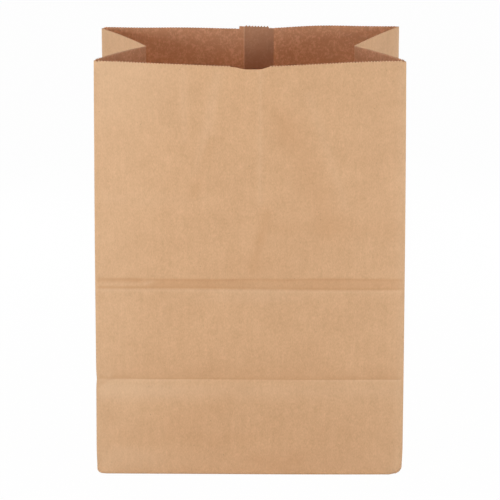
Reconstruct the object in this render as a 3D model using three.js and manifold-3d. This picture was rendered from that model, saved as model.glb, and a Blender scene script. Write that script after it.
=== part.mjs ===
// Paper grocery bag of the eighth-barrel size: one sheet of brown kraft paper, folded into a gusseted tube,
// pasted along a lap on its back and closed underneath by a folded block bottom. It stands open.
// Millimetres, +Z up. The origin is the middle of the base, on the ground, and the front looks along -Y.
import * as THREE from "three";
import { mergeVertices } from "three/addons/utils/BufferGeometryUtils.js";
import Module from "manifold-3d";

const { clamp, lerp, smoothstep } = THREE.MathUtils;

// The sheet and the tube it is folded into
const PAPER = 0.18; // one ply of kraft
const WIDTH = 257; // front face between its two folds, 10 1/8 inch
const DEPTH = 171.5; // gusset from front fold to back fold, 6 3/4 inch, so also the depth of the base
const HEIGHT = 354; // wall from the ground to the tips of the cut mouth
const HALF = DEPTH / 2;

// How the gussets have folded in as the bag stands open
const BACK_WIDTH = 258.4; // back face between its two folds
const MOUTH_INSET = 40.7; // centre fold of a gusset, inward of the corner folds, at the mouth
const BASE_INSET = 8; // the same where the centre fold begins, half the depth above the ground
const FOLD_FLAT = 0.5; // half the width of a centre fold's rounded nose
const FOLD_SETBACK = 0.9; // how far a corner fold's rounding reaches along each face
const CRUSHED = { frontLeft: [6, 11], frontRight: [6.5, 17.5], backLeft: [9, 9], backRight: [10, 10] }; // at the ground
const CORNER_BLEND = 26; // height over which a crushed corner sharpens

// How the handled bag stands out of square
const SKEW = 1.8; // shift of the base's sides along the depth
const SLACK = 1.6; // the right end of the base gives this much of it back
const TWIST = 2.2; // shift of the back of the mouth, the other way

// The front face
const BULGE = 18.5; // the middle of the front edge stands this far forward of the corner folds
const LEFT_BULGE = 2.8; // and the bow is fuller by this much left of the middle
const LEFT_BULGE_AT = -85;
const LEFT_BULGE_REACH = 32;
const PILLOW = 3.2; // swelling of the front below its crease, and from there up to the band
const CREASE = HALF - 1.45; // valley left where the base was folded flat against the front
const CREASE_DIP = 0.6;
const CREASE_REACH = 2.4;
const BAND_LOW = DEPTH - 9.2; // band pressed in by the edge of the folded base
const BAND_HIGH = DEPTH - 0.6;
const BAND_STEP = 1.1; // the front stands this far forward above the band
const BAND_FADE = 110; // and settles back over this height

// The back face and its pasted lap
const LAP_LEFT = -5.5; // free edge of the inner ply
const LAP_WIDE = 25.4;
const LAP_RIGHT = LAP_LEFT + LAP_WIDE; // free edge of the outer ply
const WAVES = [
  { out: -3.3, at: -93, reach: 26 },
  { out: -10.5, at: 6.3, reach: 54 }, // the stiff lap stands inward
  { out: 8.5, at: 55, reach: 37 }, // and the back bows out beside it
];

// The mouth, cut by a saw-toothed knife with a thumb notch in the front and a matching tongue behind
const TOOTH_PITCH = 2.4;
const TOOTH_DEEP = 1;
const MOUTH_SLANT = 0.3; // the cut is this much higher behind, and lower in front
const CUT_BAND = 12; // strip of wall below the cut
const NOTCH_LEFT = -14.6;
const NOTCH_RIGHT = 15.2;
const NOTCH_FLAT = [-2.2, 8.6]; // bottom of the notch between its slopes
const NOTCH_DEEP = 1.9;
const TONGUE_LEFT = -9.6;
const TONGUE_WIDE = 25.6;
const TONGUE_RIGHT = TONGUE_LEFT + TONGUE_WIDE;
const TONGUE_HIGH = 2.1;
const TONGUE_SLANT = 0.75; // higher at the tongue's left end, and lower at its right

// The block bottom: two end flaps inside, then the back flap, then the front flap pasted over it
const BASE_RADIUS = 2.4; // fold round the foot of the walls
const LIP = 3; // turn of the wall under the base
const FLAP_OVERLAP = 38; // front flap over back flap
const FLAP = (DEPTH + FLAP_OVERLAP) / 2; // length of every bottom flap from its fold
const FLAP_SHY = 8; // the folds of the long flaps stop this far short of the crushed corners
const PASTE = 0.25; // share of a ply that pasted plies press into each other

// Inward fold of the gusset's centre at a height along the paper.
function gussetInset(height) {
  if (height < HALF) return (BASE_INSET * height) / HALF;
  return lerp(BASE_INSET, MOUTH_INSET, Math.sin((Math.PI / 2) * ((height - HALF) / (HEIGHT - HALF))));
}

// The paper keeps its width, so the front and back draw together as the gussets fold in.
function wallOffset(height) {
  const slanted = Math.min(height, HALF);
  return HALF - slanted + Math.sqrt(slanted ** 2 - gussetInset(height) ** 2);
}

// Forward bow of the front: none up to the mark of the folded base, full at the mouth.
function frontBulge(height) {
  if (height < DEPTH) return 0;
  return BULGE * ((height - DEPTH) / (HEIGHT - DEPTH)) ** 1.25;
}

// A bowed front draws its two corner folds towards each other, and they open to give half of that back.
function frontHalf(height) {
  return WIDTH / 2 - (Math.PI * frontBulge(height)) ** 2 / (16 * WIDTH);
}

// A leaning strip of paper keeps its length, so its end stands lower by this much.
function drop(length, lean) {
  return length - Math.sqrt(Math.max(length ** 2 - lean ** 2, 0));
}

function bump(place, centre, reach) {
  return Math.exp(-(((place - centre) / reach) ** 2));
}

// Moves a point of the square bag to where the handled bag stands.
function settled(x, y, height) {
  const side = x / (WIDTH / 2);
  const raised = smoothstep(height, DEPTH, HEIGHT);
  const behind = clamp((y + HALF) / DEPTH, 0, 1);
  const skew = SKEW * side - SLACK * Math.max(side, 0) ** 2;
  return y + TWIST * side * behind * raised - skew * (1 - raised);
}

// Pillows, crease and band of the front, as a forward movement.
function frontRelief(share, height) {
  const low = Math.sin(Math.PI * clamp(height / CREASE, 0, 1));
  const high = Math.sin(Math.PI * clamp((height - CREASE) / (BAND_LOW - CREASE), 0, 1));
  const crease = CREASE_DIP * Math.exp(-Math.abs(height - CREASE) / CREASE_REACH);
  const stepped = clamp((height - BAND_LOW) / (BAND_HIGH - BAND_LOW), 0, 1);
  const band = BAND_STEP * stepped * (1 - smoothstep(height, BAND_HIGH, BAND_HIGH + BAND_FADE));
  return PILLOW * (low + high) * (1 - share ** 8) + (band - crease) * (1 - share ** 24);
}

function frontPoint(x, height) {
  const share = x / frontHalf(height);
  const fuller = (LEFT_BULGE / BULGE) * bump(x, LEFT_BULGE_AT, LEFT_BULGE_REACH) * (1 - share ** 8);
  const bow = frontBulge(height) * ((1 + Math.cos(Math.PI * share)) / 2 + fuller);
  const fallen = drop(Math.max(height - DEPTH, 1), bow);
  return { x, y: -wallOffset(height) - bow - frontRelief(share, height), z: height - fallen, plies: 1 };
}

// The back dents in along the lap and bows out beside it; right of the lap it is the inner ply that goes on.
function backPoint(x, height) {
  const half = BACK_WIDTH / 2;
  const wave = WAVES.reduce((sum, { out, at, reach }) => sum + out * bump(x, at, reach), 0);
  const shown = (1 - (x / half) ** 8) * (height / HEIGHT) ** 2;
  const stepped = x > LAP_RIGHT ? (PAPER * (half - x)) / (half - LAP_RIGHT) : 0;
  const plies = x > LAP_LEFT && x < LAP_RIGHT ? 2 : 1;
  return { x, y: wallOffset(height) + wave * shown, z: height, stepped, plies };
}

// Points from one end of a run to the other, both ends included.
function run(from, to, steps) {
  return Array.from({ length: steps + 1 }, (_, i) => lerp(from, to, i / steps));
}

// A folded corner: a short curve from the face before it to the face after it.
function corner(before, at, after, setbackBefore, setbackAfter) {
  const start = at.clone().add(before.clone().sub(at).setLength(setbackBefore));
  const end = at.clone().add(after.clone().sub(at).setLength(setbackAfter));
  return new THREE.QuadraticBezierCurve(start, at, end).getPoints(3);
}

// Places across the back, right to left, with the edges of the lap and of the tongue each met from both sides.
function backPlaces(left, right) {
  const hair = 0.05;
  const edges = [LAP_LEFT, LAP_RIGHT, TONGUE_LEFT, TONGUE_RIGHT].sort((a, b) => b - a);
  const ends = [BACK_WIDTH / 2, ...edges, -BACK_WIDTH / 2];
  return ends.slice(1).flatMap((end, i) => {
    const steps = Math.max(1, Math.round((ends[i] - end) / 12));
    const from = i === 0 ? right : ends[i] - hair;
    const to = i === edges.length ? -left : end + hair;
    const places = run(from, to, steps).map((x, k) => ({ x, kept: k === 0 || k === steps }));
    return i === 0 ? places.slice(1) : i === edges.length ? places.slice(0, -1) : places;
  });
}

// Plan of the wall at one height along the paper, anticlockwise from the front left corner: the outside of the
// sheet at every place, which way is out, and how many plies lie there. Folds and edges are kept at the mouth.
function section(height) {
  const frontFold = frontHalf(height);
  const backFold = BACK_WIDTH / 2;
  const offset = wallOffset(height);
  const inset = gussetInset(height);
  const crushed = Math.max(1 - height / CORNER_BLEND, 0) ** 2;
  const setback = (soft) => lerp(FOLD_SETBACK, soft, crushed);

  const side = (sign, softFront, softBack) => {
    const x = sign * ((frontFold + backFold) / 2 - inset);
    const [faceFront, gussetFront] = softFront.map(setback);
    const [faceBack, gussetBack] = softBack.map(setback);
    const flat = (reach) => Math.max(Math.min(HALF - height, offset - 2.5 * reach), FOLD_FLAT);
    const nose = [new THREE.Vector2(x, -flat(gussetFront)), new THREE.Vector2(x, flat(gussetBack))];
    const front = new THREE.Vector2(sign * frontFold, -offset);
    const back = new THREE.Vector2(sign * backFold, offset);
    const points = [
      ...corner(new THREE.Vector2(0, -offset), front, nose[0], faceFront, gussetFront),
      front.clone().lerp(nose[0], 0.5),
      ...nose,
      back.clone().lerp(nose[1], 0.5),
      ...corner(nose[1], back, new THREE.Vector2(0, offset), gussetBack, faceBack),
    ];
    return points.map((p) => {
      const lean = inset * (1 - Math.min(Math.abs(p.y) / offset, 1));
      return { x: p.x, y: p.y, z: height - drop(height, lean), plies: 1, kept: true };
    });
  };

  const across = run(setback(CRUSHED.frontLeft[0]) - frontFold, frontFold - setback(CRUSHED.frontRight[0]), 20);
  const behind = backPlaces(backFold - setback(CRUSHED.backLeft[0]), backFold - setback(CRUSHED.backRight[0]));
  const stations = [
    ...across.slice(1, -1).map((x) => frontPoint(x, height)),
    ...side(1, CRUSHED.frontRight, CRUSHED.backRight),
    ...behind.map(({ x, kept }) => ({ ...backPoint(x, height), kept })),
    ...side(-1, CRUSHED.frontLeft, CRUSHED.backLeft).reverse(),
  ].map((station) => ({ ...station, y: settled(station.x, station.y, height) }));

  return stations.map((station, i) => {
    const before = stations.at(i - 1);
    const after = stations[(i + 1) % stations.length];
    const one = new THREE.Vector2(station.y - before.y, before.x - station.x).normalize();
    const two = new THREE.Vector2(after.y - station.y, station.x - after.x).normalize();
    const out = one.clone().add(two).divideScalar(1 + one.dot(two));
    const outside = new THREE.Vector3(station.x, station.y, station.z);
    const outward = new THREE.Vector3(out.x, out.y, 0);
    if (station.stepped) outside.addScaledVector(outward, -station.stepped);
    return { outside, outward, plies: station.plies, kept: station.kept };
  });
}

function outsideOf(stations, inset = 0, lift = 0) {
  return stations.map((s) => s.outside.clone().addScaledVector(s.outward, -inset).add(new THREE.Vector3(0, 0, lift)));
}

function insideOf(stations) {
  return stations.map((s) => s.outside.clone().addScaledVector(s.outward, -s.plies * PAPER));
}

// The fold round the foot of the wall: quarter turn, then a short lip under the base. The inner plies of the
// base thicken it as it turns.
function foot(inner) {
  const base = section(BASE_RADIUS);
  const rows = run(0, Math.PI / 2, 3).map((turn) => {
    const plies = inner ? 1 + (1.25 * turn) / (Math.PI / 2) : 0;
    const radius = BASE_RADIUS - plies * PAPER;
    return outsideOf(base, BASE_RADIUS - radius * Math.cos(turn), -radius * Math.sin(turn));
  });
  const lip = rows.at(-1).map((p, i) => p.clone().addScaledVector(base[i].outward, -LIP));
  return [...rows, lip];
}

// The knife's line round the mouth, against the tips of its teeth: a thumb notch in front, a tongue behind.
function cutLine(point) {
  const slant = MOUTH_SLANT * clamp(point.y / wallOffset(HEIGHT), -1, 1);
  if (point.y > 0) {
    const along = (2 * (point.x - TONGUE_LEFT)) / TONGUE_WIDE - 1;
    return Math.abs(along) < 1 ? slant + TONGUE_HIGH - TONGUE_SLANT * along : slant;
  }
  const [left, right] = NOTCH_FLAT;
  const notch = smoothstep(point.x, NOTCH_LEFT, left) * (1 - smoothstep(point.x, right, NOTCH_RIGHT));
  return slant - NOTCH_DEEP * notch;
}

// The cut edge: roots of the teeth at their pitch, with every kept fold between them.
function mouth() {
  const stations = section(HEIGHT);
  const outside = outsideOf(stations);
  const inside = insideOf(stations);
  const count = stations.length;
  const lengths = outside.map((p, i) => p.distanceTo(outside[(i + 1) % count]));
  const starts = lengths.map((_, i) => lengths.slice(0, i).reduce((sum, length) => sum + length, 0));
  const round = starts.at(-1) + lengths.at(-1);
  const share = starts.map((start) => start / round);
  const kept = starts.filter((_, i) => stations[i].kept);
  const teeth = Math.round(round / TOOTH_PITCH);
  const roots = run(0, round, teeth).slice(0, -1);
  const places = [...kept, ...roots.filter((r) => kept.every((k) => Math.abs(k - r) > TOOTH_PITCH / 3))];
  const edge = places.sort((a, b) => a - b).map((place) => {
    const i = starts.findLastIndex((start) => start <= place);
    const way = (place - starts[i]) / lengths[i];
    const cut = cutLine(outside[i].clone().lerp(outside[(i + 1) % count], way)) - TOOTH_DEEP;
    const [outer, inner] = [outside, inside].map((row) => row[i].clone().lerp(row[(i + 1) % count], way));
    return { outer: outer.setZ(outer.z + cut), inner: inner.setZ(inner.z + cut), share: place / round };
  });
  return { share, edge };
}

// The tip of the tooth between two roots, and none in the smooth notch or at a fold.
function toothTip(one, two, row) {
  const tip = one[row].clone().lerp(two[row], 0.5);
  const wide = one[row].distanceTo(two[row]);
  const notched = tip.y < 0 && tip.x > NOTCH_LEFT && tip.x < NOTCH_RIGHT;
  if (notched || wide < TOOTH_PITCH / 4 || Math.abs(one[row].z - two[row].z) > TOOTH_DEEP) return null;
  return tip.setZ(tip.z + TOOTH_DEEP * Math.min(wide / TOOTH_PITCH, 1));
}

// The wall as one closed skin: up the outside, over the toothed edge, down the inside and under the foot.
// Panels inside are split along the same diagonals as outside, so the sheet keeps its thickness.
function wall() {
  const heights = [
    CORNER_BLEND * 0.4,
    CORNER_BLEND,
    CREASE * 0.5,
    CREASE * 0.75,
    CREASE - 2 * CREASE_REACH,
    CREASE,
    HALF + 2 * CREASE_REACH,
    lerp(HALF, BAND_LOW, 0.3),
    lerp(HALF, BAND_LOW, 0.6),
    BAND_LOW - 8,
    BAND_LOW,
    BAND_HIGH,
    ...run(BAND_HIGH, HEIGHT - CUT_BAND, 6).slice(1),
  ];
  const sections = heights.map(section);
  const { share, edge } = mouth();
  const edgeShare = edge.map((e) => e.share);
  const rows = [
    ...[...foot(false).reverse(), ...sections.map((s) => outsideOf(s))].map((points) => ({ points, share })),
    { points: edge.map((e) => e.outer), share: edgeShare },
    { points: edge.map((e) => e.inner), share: edgeShare, inside: true },
    ...[...sections.map(insideOf).reverse(), ...foot(true)].map((points) => ({ points, share, inside: true })),
  ];

  const positions = [];
  const index = [];
  const put = (p) => positions.push(p.x, p.y, p.z) / 3 - 1;
  rows.forEach((row) => {
    row.start = positions.length / 3;
    row.points.forEach(put);
  });
  rows.forEach((row, r) => {
    const next = rows[(r + 1) % rows.length];
    const [na, nb] = [row.points.length, next.points.length];
    if (next.inside && !row.inside) {
      edge.forEach((one, i) => {
        const two = edge[(i + 1) % na];
        const [a, b] = [row.start + i, row.start + ((i + 1) % na)];
        const [c, d] = [next.start + i, next.start + ((i + 1) % na)];
        if (!toothTip(one, two, "outer")) {
          index.push(a, b, c, b, d, c);
          return;
        }
        const [top, under] = [put(toothTip(one, two, "outer")), put(toothTip(one, two, "inner"))];
        index.push(a, b, top, d, c, under);
        index.push(a, top, c, top, under, c, top, b, under, b, d, under);
      });
      return;
    }
    let [i, j] = [0, 0];
    while (i < na || j < nb) {
      const reachA = i < na ? (row.share[i + 1] ?? 1) : Infinity;
      const reachB = j < nb ? (next.share[j + 1] ?? 1) : Infinity;
      const here = [row.start + (i % na), next.start + (j % nb)];
      if (reachA < reachB || (reachA === reachB && !row.inside)) {
        i += 1;
        index.push(here[0], row.start + (i % na), here[1]);
      } else {
        j += 1;
        index.push(here[0], next.start + (j % nb), here[1]);
      }
    }
  });
  const geometry = new THREE.BufferGeometry();
  geometry.setAttribute("position", new THREE.Float32BufferAttribute(positions, 3));
  return geometry.setIndex(index);
}

// A flat sheet of the base between two ply levels counted up from the ground.
function sheet(points, low, high) {
  const shape = new THREE.Shape(points.map(([x, y]) => new THREE.Vector2(x, settled(x, y, 0))));
  const plate = new THREE.ExtrudeGeometry(shape, { depth: (high - low) * PAPER, bevelEnabled: false });
  return plate.translate(0, 0, low * PAPER);
}

// A mitred long flap: it ends where its slanted ends meet, if the base is that narrow.
function longFlap(sign, low, high) {
  const [x, y] = [WIDTH / 2 - BASE_RADIUS, HALF - BASE_RADIUS];
  const length = Math.min(FLAP - BASE_RADIUS, x - 1);
  const tip = y - length;
  const points = [[FLAP_SHY - x, -y], [x - FLAP_SHY, -y], [x - length, -tip], [length - x, -tip]];
  return sheet(points.map(([px, py]) => [px * sign, py * sign]), low, high);
}

function endFlap(sign, low, high) {
  const [x, y] = [WIDTH / 2 - BASE_RADIUS - FOLD_SETBACK, HALF - BASE_RADIUS - FLAP_SHY];
  const free = Math.max(WIDTH / 2 - FLAP, 1);
  const points = [[free, -y], [x, -y], [x, y], [free, y]];
  return sheet(points.map(([px, py]) => [px * sign, py * sign]), low, high);
}

// The ply of folded ears that joins all four walls, with the crushed corners of the base.
function pan(low, high) {
  const [x, y] = [WIDTH / 2 - BASE_RADIUS, HALF - BASE_RADIUS];
  const turns = [
    [[x, y], CRUSHED.backRight],
    [[-x, y], CRUSHED.backLeft],
    [[-x, -y], CRUSHED.frontLeft],
    [[x, -y], CRUSHED.frontRight],
  ];
  const points = turns.flatMap(([at, [face, gusset]]) => {
    const [px, py] = at;
    const [onGusset, onFace] = [new THREE.Vector2(px, 0), new THREE.Vector2(0, py)];
    const turned = corner(onGusset, new THREE.Vector2(px, py), onFace, gusset, face).map((p) => [p.x, p.y]);
    return px * py > 0 ? turned : turned.reverse();
  });
  return sheet(points, low, high);
}

function base() {
  return [
    pan(2, 3),
    endFlap(1, 3 - PASTE, 4),
    endFlap(-1, 3 - PASTE, 4),
    longFlap(-1, 1, 2 + PASTE),
    longFlap(1, 0, 1 + PASTE),
  ];
}

const kernel = await Module();
kernel.setup();

function solid(geometry) {
  geometry.deleteAttribute("normal");
  geometry.deleteAttribute("uv");
  const merged = mergeVertices(geometry, 1e-4);
  const mesh = new kernel.Mesh({
    numProp: 3,
    vertProperties: new Float32Array(merged.attributes.position.array),
    triVerts: new Uint32Array(merged.index.array),
  });
  return new kernel.Manifold(mesh);
}

const whole = base().reduce((bag, ply) => bag.add(solid(ply)), solid(wall())).getMesh();
const geometry = new THREE.BufferGeometry();
geometry.setAttribute("position", new THREE.BufferAttribute(whole.vertProperties, 3));
geometry.setIndex(new THREE.BufferAttribute(whole.triVerts, 1));
geometry.computeVertexNormals();

const bag = new THREE.Mesh(geometry, new THREE.MeshStandardMaterial({ color: 0xc9a27c, roughness: 0.85 }));
bag.name = "paper_bag";

const part = new THREE.Group();
part.add(bag);
export default part;
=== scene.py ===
import math

import bpy
import numpy as np
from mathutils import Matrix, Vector, noise


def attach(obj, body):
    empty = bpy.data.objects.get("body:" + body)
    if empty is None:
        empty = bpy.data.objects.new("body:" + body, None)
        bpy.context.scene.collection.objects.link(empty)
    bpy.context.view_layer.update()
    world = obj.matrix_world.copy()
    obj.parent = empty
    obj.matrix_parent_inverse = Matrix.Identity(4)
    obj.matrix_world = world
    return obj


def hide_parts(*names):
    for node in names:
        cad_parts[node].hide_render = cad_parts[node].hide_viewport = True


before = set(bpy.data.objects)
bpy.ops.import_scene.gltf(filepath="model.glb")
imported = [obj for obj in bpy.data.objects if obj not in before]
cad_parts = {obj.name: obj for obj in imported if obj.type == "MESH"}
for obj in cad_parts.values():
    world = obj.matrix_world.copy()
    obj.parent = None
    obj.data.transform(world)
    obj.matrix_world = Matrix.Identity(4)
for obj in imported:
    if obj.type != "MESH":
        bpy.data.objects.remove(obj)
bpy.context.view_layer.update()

# The tube: one sheet of brown kraft paper folded into a front, a back and two gusseted sides. The paper keeps
# its widths, so the front and back draw together as the gussets fold in. Sizes are millimetres, measured from
# the middle of the base on the ground, with the front towards -Y. "up" is a height along the paper.
WIDTH = 257.0  # front between its two folds
DEPTH = 171.5  # gusset from front fold to back fold, and so the depth of the base
HEIGHT = 354.0  # ground to the tips of the cut mouth
HALF = DEPTH / 2
MOUTH_INSET = 40.7  # centre fold of a gusset inward of its corner folds, at the mouth
BASE_INSET = 8.0  # the same where the centre fold begins
FOLD_SETBACK = 0.9  # how far a corner fold's rounding reaches along each face
CORNER_BLEND = 26.0  # height over which a crushed corner of the base sharpens
# How far each crushed corner of the base is rounded along the face, along the gusset, and upwards
SOFT_CORNERS = {
    "front_left": (6.0, 11.0, 4.2),
    "front_right": (6.5, 17.5, 7.8),
    "back_left": (9.0, 9.0, 5.8),
    "back_right": (10.0, 10.0, 6.5),
}


def gusset_inset(up):
    """How far the centre fold of a gusset stands inward of its corner folds."""
    above = BASE_INSET + (MOUTH_INSET - BASE_INSET) * np.sin(math.pi / 2 * (up - HALF) / (HEIGHT - HALF))
    return np.where(up < HALF, BASE_INSET * up / HALF, above)


def wall_offset(up):
    """How far the front and back stand from the middle as the gussets fold in."""
    slanted = np.minimum(up, HALF)
    return HALF - slanted + np.sqrt(slanted**2 - gusset_inset(up) ** 2)


def corner_setback(up, soft):
    """How far a corner fold is rounded along a face: softly at the ground, and sharply above."""
    crushed = np.clip(1 - up / CORNER_BLEND, 0, None) ** 2
    return FOLD_SETBACK + (soft - FOLD_SETBACK) * crushed


# The front face: flat and pillowed where the folded base lay against it, then bowing forward to the mouth.
# It was creased sharply at half the base's depth, and the edge of the folded base pressed a band into it.
# Hands have left soft creases and hollows in the paper.
BULGE = 18.5  # forward bow of the mouth's front edge
BULGE_CURVE = 1.25  # how late the bow grows on the way up
LEFT_BULGE = 2.8  # the bow is fuller left of the middle
LEFT_BULGE_AT = -85.0
LEFT_BULGE_REACH = 32.0
PILLOW = 3.2  # swelling of the face below the crease, and between the crease and the band
CREASE = 84.3  # height of the crease, a little under half the base's depth
CREASE_DIP = 0.6
CREASE_REACH = 2.4
CREASE_END = -115.0  # the crease stops short of the left fold, at a small knuckle
CREASE_FADE = 1.5
KNUCKLE = 0.7
KNUCKLE_AT = (CREASE_END - 5, CREASE - 1)
KNUCKLE_REACH = 4.5
BAND_LOW = 162.3  # lower edge of the pressed band
BAND_HIGH = 170.9  # and its upper edge
BAND_STEP = 0.8  # how far the slanted band brings the face forward
BAND_GROOVE = 0.3  # groove along its lower edge
BAND_GROOVE_REACH = 1.8
BAND_LEDGE = 0.3  # ledge at its upper edge, and left of the split at its lower edge too
UPPER_LEDGE = 1.2  # height over which each ledge stands out
LOWER_LEDGE = 1.4
BAND_FADE = 110.0  # height over which the face settles back above the band
BAND_SPLIT = -88.0  # left of here the band is two separate ledges
BAND_SPLIT_FADE = 15.0
BAND_DROP = 1.0  # its lower edge runs down by this much towards the right
BAND_DROP_RUN = (-95.0, 110.0)
# Rises of the band's upper edge: height, place across and reach
BAND_RISES = ((0.7, 70.0, 35.0), (-0.4, -30.0, 12.0), (-0.4, 28.0, 8.0))
SEAM_PRINT = 8.5  # faint upright ridge where the lap of the back was pressed against the front
SEAM_RIDGE = 0.16
SEAM_REACH = 2.6
SEAM_FADE = 25.0  # height above the band over which the ridge begins
# Soft creases: where each starts and ends, across and up, its half width, and its strength, a hollow below 0;
# the strength also paints a highlight on a ridge and shade in a hollow
HANDLING = (
    ((-54, 352), (-54, 290), 3.0, 0.5),
    ((-26, 346), (-42, 262), 5.0, 0.9),
    ((-33, 286), (-46, 243), 4.0, -1.1),
    ((-115, 238), (-40, 238), 7.0, 0.35),
    ((8.5, 352), (8.5, 236), 2.0, 0.9),
    ((16, 325), (30, 290), 9.0, -0.7),
    ((30, 300), (66, 216), 13.0, -1.2),
    ((48, 326), (79, 231), 4.0, 0.6),
    ((22, 214), (126, 212), 8.0, -0.8),
    ((14, 227), (8, 205), 4.5, -1.7),
    ((8, 205), (2.5, 178), 4.0, -1.2),
    ((-10, 180), (22, 180), 13.0, -0.6),
    ((-16, 153), (52, 153), 4.0, -0.5),
    ((-127, 168.9), (-92, 168.9), 1.7, -3.0),
    ((-118, 166.0), (-87, 166.3), 1.2, 0.4),
    ((-87, 166.3), (-81, 168.4), 1.2, 1.2),
    ((-114, 85.8), (-101, 85.3), 1.9, -1.8),
    ((-127, 86.0), (-116.5, 84.3), 1.4, -6.0),
    ((-126.5, 79.3), (-121.5, 82.9), 1.5, -6.0),
    ((-64, 41), (-16, 65), 9.0, -0.6),
    ((-111, 33), (-2, 33), 6.0, -0.5),
    ((-108, 19), (-82, 15), 9.0, 0.5),
    ((4, 9), (38, 9), 9.0, -1.2),
)
HANDLING_SLOPE = 0.09  # rise of a crease for its half width
HANDLING_FADE = 12.0  # height above the ground over which the creases begin
FRONT_SWELLS = ((0.55, 75.0), (0.16, 26.0))  # depth and size of the shallow hollows and swells
FOOT_STIFF = 25.0  # the walls' hollows and swells begin over this height above the ground
FOLD_ROUND = 0.9  # how far the face falls back where it meets its folds
FOLD_ROUND_FADE = 20.0  # height above the ground over which that begins
SOFT_EDGE = 8  # power by which a face's soft forms die out towards its folds
CRISP_EDGE = 24  # and its crisp forms
FRONT_CELLS = 105
FRONT_SHARES = np.linspace(-1, 1, FRONT_CELLS + 1)[1:-1]
SHORTEST = 1.0  # least length of paper that is reckoned to lean


def bump(place, centre, reach):
    """A soft swelling: 1 at the centre, fading out over the reach."""
    return np.exp(-(((place - centre) / reach) ** 2))


def ease(place, start, end):
    """0 before the start, 1 after the end, and a smooth rise between them."""
    share = np.clip((place - start) / (end - start), 0, 1)
    return share * share * (3 - 2 * share)


def uneven(across, up, wave):
    """Shallow hollows and swells of handled paper, from -1 to 1, about one wave across."""
    places = zip(np.ravel(across) / wave, np.ravel(up) / wave)
    return np.reshape([noise.noise((a, u, wave)) for a, u in places], np.shape(up))


def dropped(length, lean):
    """How much lower a strip of paper ends when it leans sideways."""
    length = np.maximum(length, SHORTEST)
    return length - np.sqrt(np.maximum(length**2 - lean**2, 0))


def front_bulge(up):
    """Forward bow of the front's middle."""
    return BULGE * np.clip((up - DEPTH) / (HEIGHT - DEPTH), 0, None) ** BULGE_CURVE


def front_half(up):
    """Half the front's width. Its bow draws the folds together, and they open to give half of that back."""
    drawn = (math.pi * front_bulge(up)) ** 2 / (8 * WIDTH)
    return WIDTH / 2 - drawn / 2


def handling(x, up):
    """Creases left by hands: how strongly the paper is painted, a highlight on a ridge and shade in a hollow,
    and how far it stands forward.
    """
    marked = 0
    forward = 0
    for start, end, reach, strength in HANDLING:
        run = np.subtract(end, start)
        share = np.clip(((x - start[0]) * run[0] + (up - start[1]) * run[1]) / (run @ run), 0, 1)
        away = np.hypot(x - start[0] - share * run[0], up - start[1] - share * run[1])
        crease = strength * bump(away, 0, reach)
        marked = marked + crease
        forward = forward + crease * reach * HANDLING_SLOPE
    return marked, forward


def creased(x):
    """1 along the front's crease, and 0 beyond its left end."""
    return ease(x, CREASE_END - CREASE_FADE, CREASE_END + CREASE_FADE)


def band_slants(x):
    """1 where the band is one slanted strip, and 0 where it is two ledges."""
    return ease(x, BAND_SPLIT - BAND_SPLIT_FADE, BAND_SPLIT + BAND_SPLIT_FADE)


def band_edges(x):
    """Heights of the pressed band's lower and upper edge, which wander across the front."""
    low = BAND_LOW - BAND_DROP * ease(x, *BAND_DROP_RUN)
    high = BAND_HIGH + sum(rise * bump(x, place, reach) for rise, place, reach in BAND_RISES)
    return low, high


def front_relief(x, up):
    """Pillows, crease, band and handling marks, as a forward movement."""
    share = np.abs(x) / front_half(up)
    low_pillow = np.sin(math.pi * np.clip(up / CREASE, 0, 1))
    high_pillow = np.sin(math.pi * np.clip((up - CREASE) / (BAND_LOW - CREASE), 0, 1))
    crease = CREASE_DIP * np.exp(-np.abs(up - CREASE) / CREASE_REACH) * creased(x)
    low, high = band_edges(x)
    slanted = band_slants(x)
    facet = BAND_STEP * slanted * np.clip((up - low) / (high - low), 0, 1)
    ledges = ease(up, high - UPPER_LEDGE, high) + (1 - slanted) * ease(up, low, low + LOWER_LEDGE)
    band = (facet + BAND_LEDGE * ledges) * (1 - ease(up, high, high + BAND_FADE))
    groove = BAND_GROOVE * np.exp(-np.abs(up - low) / BAND_GROOVE_REACH)
    ridge = SEAM_RIDGE * bump(x, SEAM_PRINT, SEAM_REACH) * ease(up, BAND_HIGH, BAND_HIGH + SEAM_FADE)
    knuckle = KNUCKLE * bump(x, KNUCKLE_AT[0], KNUCKLE_REACH) * bump(up, KNUCKLE_AT[1], KNUCKLE_REACH)
    worked = sum(depth * uneven(x, up, wave) for depth, wave in FRONT_SWELLS) * ease(up, 0, FOOT_STIFF)
    handled = handling(x, up)[1] * ease(up, 0, HANDLING_FADE)
    soft = PILLOW * (low_pillow + high_pillow) + ridge + handled + worked
    crisp = band - crease - groove + knuckle
    rounded = FOLD_ROUND * share**CRISP_EDGE * ease(up, 0, FOLD_ROUND_FADE)
    return soft * (1 - share**SOFT_EDGE) + crisp * (1 - share**CRISP_EDGE) - rounded


def front_face(up):
    """Points of the front, from its left fold to its right."""
    left = corner_setback(up, SOFT_CORNERS["front_left"][0])
    right = corner_setback(up, SOFT_CORNERS["front_right"][0])
    half = front_half(up)
    rounding = np.where(FRONT_SHARES > 0, right, -left) * np.abs(FRONT_SHARES)[None, :]
    x = FRONT_SHARES[None, :] * half - rounding
    fuller = LEFT_BULGE / BULGE * bump(x, LEFT_BULGE_AT, LEFT_BULGE_REACH)
    bow = front_bulge(up) * ((1 + np.cos(math.pi * x / half)) / 2 + fuller * (1 - (x / half) ** SOFT_EDGE))
    fallen = dropped(up - DEPTH, bow)
    return np.stack([x, -wall_offset(up) - bow - front_relief(x, up), up - fallen], -1)


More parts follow.
